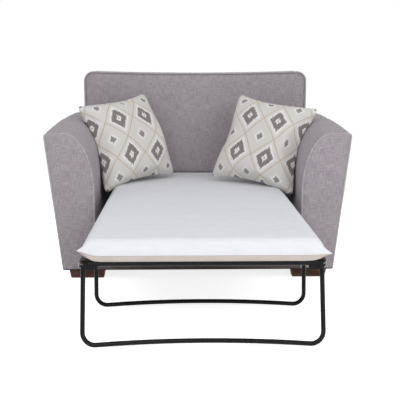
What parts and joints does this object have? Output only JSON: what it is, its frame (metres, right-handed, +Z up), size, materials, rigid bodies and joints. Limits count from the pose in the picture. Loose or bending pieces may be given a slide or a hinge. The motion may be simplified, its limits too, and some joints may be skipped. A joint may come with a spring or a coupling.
{
  "type": "convertible chair bed",
  "caption": "Upholstered chair bed opened flat: flared arms, upright back, three-fold tubular deck on folding hoop legs, thin mattress, scatter cushions.",
  "frame": {"origin": "on the floor under the middle of the opened object's box", "axes": "+Y from the foot of the bed towards the back, +Z up, +X to the sitter's left as seen from the front"},
  "size_m": [1.374, 1.895, 0.93],
  "materials": {
    "upholstery_fabric": "slubbed plain weave",
    "mattress_ticking": "smooth pale ticking",
    "cushion_print": "printed cotton",
    "woven_webbing": "woven polypropylene",
    "dust_cloth": "black non-woven cloth",
    "frame_timber": "sawn softwood",
    "foot_wood": "dark satin stain",
    "black_steel": "black gloss",
    "zinc_steel": "zinc plated",
    "glide_plastic": "dark nylon"
  },
  "bodies": {
    "sofa_base": {"left_arm_inner_pad": "upholstery_fabric", "left_arm_outer_panel": "upholstery_fabric", "left_arm_front_facing": "upholstery_fabric", "left_arm_rear_board": "upholstery_fabric", "left_arm_frame": "frame_timber", "left_front_foot": "foot_wood", "left_rear_foot": "foot_wood", "left_front_base_bracket": "black_steel", "left_rear_base_bracket": "black_steel", "right_arm_inner_pad": "upholstery_fabric", "right_arm_outer_panel": "upholstery_fabric", "right_arm_front_facing": "upholstery_fabric", "right_arm_rear_board": "upholstery_fabric", "right_arm_frame": "frame_timber", "right_front_foot": "foot_wood", "right_rear_foot": "foot_wood", "right_front_base_bracket": "black_steel", "right_rear_base_bracket": "black_steel", "arm_bolts": "zinc_steel", "foot_bolts": "zinc_steel", "foot_glides": "glide_plastic", "dust_cover": "dust_cloth", "front_rail": "frame_timber", "front_rail_cover": "upholstery_fabric", "rear_rail": "frame_timber", "corner_blocks": "frame_timber", "back_pad": "upholstery_fabric", "back_border": "upholstery_fabric", "outside_back_panel": "upholstery_fabric", "back_frame": "frame_timber", "back_webbing": "woven_webbing", "bracket_bolts": "zinc_steel", "base_pivot_pins": "zinc_steel"},
    "rear_links": {"rear_swing_links": "black_steel"},
    "main_deck": {"main_deck_frame": "black_steel", "deck_pivot_pins": "zinc_steel", "rear_hinge_pins": "zinc_steel", "main_sling": "woven_webbing", "mattress_main": "mattress_ticking", "mattress_rear_fold": "mattress_ticking"},
    "front_links": {"front_swing_links": "black_steel"},
    "middle_deck": {"middle_deck_frame": "black_steel", "front_hinge_pins": "zinc_steel", "middle_sling": "woven_webbing", "mattress_middle": "mattress_ticking", "mattress_front_fold": "mattress_ticking"},
    "foot_deck": {"foot_deck_frame": "black_steel", "foot_sling": "woven_webbing", "leg_bolts": "zinc_steel", "mattress_foot": "mattress_ticking"},
    "front_leg": {"front_leg": "black_steel"},
    "rear_leg": {"rear_leg": "black_steel"},
    "left_cushion": {"left_scatter_cushion": "cushion_print"},
    "right_cushion": {"right_scatter_cushion": "cushion_print"}
  },
  "joints": [
    {"name": "bed_fold", "type": "hinge", "parent": "main_deck", "child": "middle_deck", "pos_m": [0, -0.0525, 0.3], "axis": [-1, 0, 0], "range_deg": [0, 90], "deforming": ["mattress_rear_fold"]},
    {"name": "rear_link_swing", "type": "hinge", "parent": "sofa_base", "child": "rear_links", "pos_m": [0, 0.5875, 0.19], "axis": [-1, 0, 0], "range_deg": [0, 75]},
    {"name": "deck_level", "type": "hinge", "parent": "rear_links", "child": "main_deck", "pos_m": [0, 0.5875, 0.3], "axis": [1, 0, 0], "range_deg": [0, 75]},
    {"name": "front_link_swing", "type": "hinge", "parent": "main_deck", "child": "front_links", "pos_m": [0, 0.1175, 0.3], "axis": [-1, 0, 0], "range_deg": [0, 75]},
    {"name": "foot_fold", "type": "hinge", "parent": "middle_deck", "child": "foot_deck", "pos_m": [0, -0.2525, 0.3], "axis": [-1, 0, 0], "range_deg": [0, 90], "deforming": ["mattress_front_fold"]},
    {"name": "front_leg_fold", "type": "hinge", "parent": "foot_deck", "child": "front_leg", "pos_m": [0, -0.8555, 0.278], "axis": [1, 0, 0], "range_deg": [0, 105.75]},
    {"name": "rear_leg_fold", "type": "hinge", "parent": "foot_deck", "child": "rear_leg", "pos_m": [0, -0.4275, 0.278], "axis": [1, 0, 0], "range_deg": [0, 96.15]},
    {"name": "left_cushion_lift", "type": "slide", "parent": "sofa_base", "child": "left_cushion", "axis": [0, 0, 1], "range_m": [0, 1.22]},
    {"name": "right_cushion_lift", "type": "slide", "parent": "sofa_base", "child": "right_cushion", "axis": [0, 0, 1], "range_m": [0, 1.22]}
  ],
  "couplings": [
    {"joint": "deck_level", "follows": "rear_link_swing", "ratio": 1},
    {"joint": "front_link_swing", "follows": "rear_link_swing", "ratio": 1},
    {"joint": "bed_fold", "follows": "rear_link_swing", "ratio": 1.2},
    {"joint": "foot_fold", "follows": "rear_link_swing", "ratio": 1.2},
    {"joint": "front_leg_fold", "follows": "rear_link_swing", "ratio": 1.41},
    {"joint": "rear_leg_fold", "follows": "rear_link_swing", "ratio": 1.282},
    {"joint": "left_cushion_lift", "follows": "rear_link_swing", "m_per_rad": 0.93201},
    {"joint": "right_cushion_lift", "follows": "rear_link_swing", "m_per_rad": 0.93201}
  ]
}
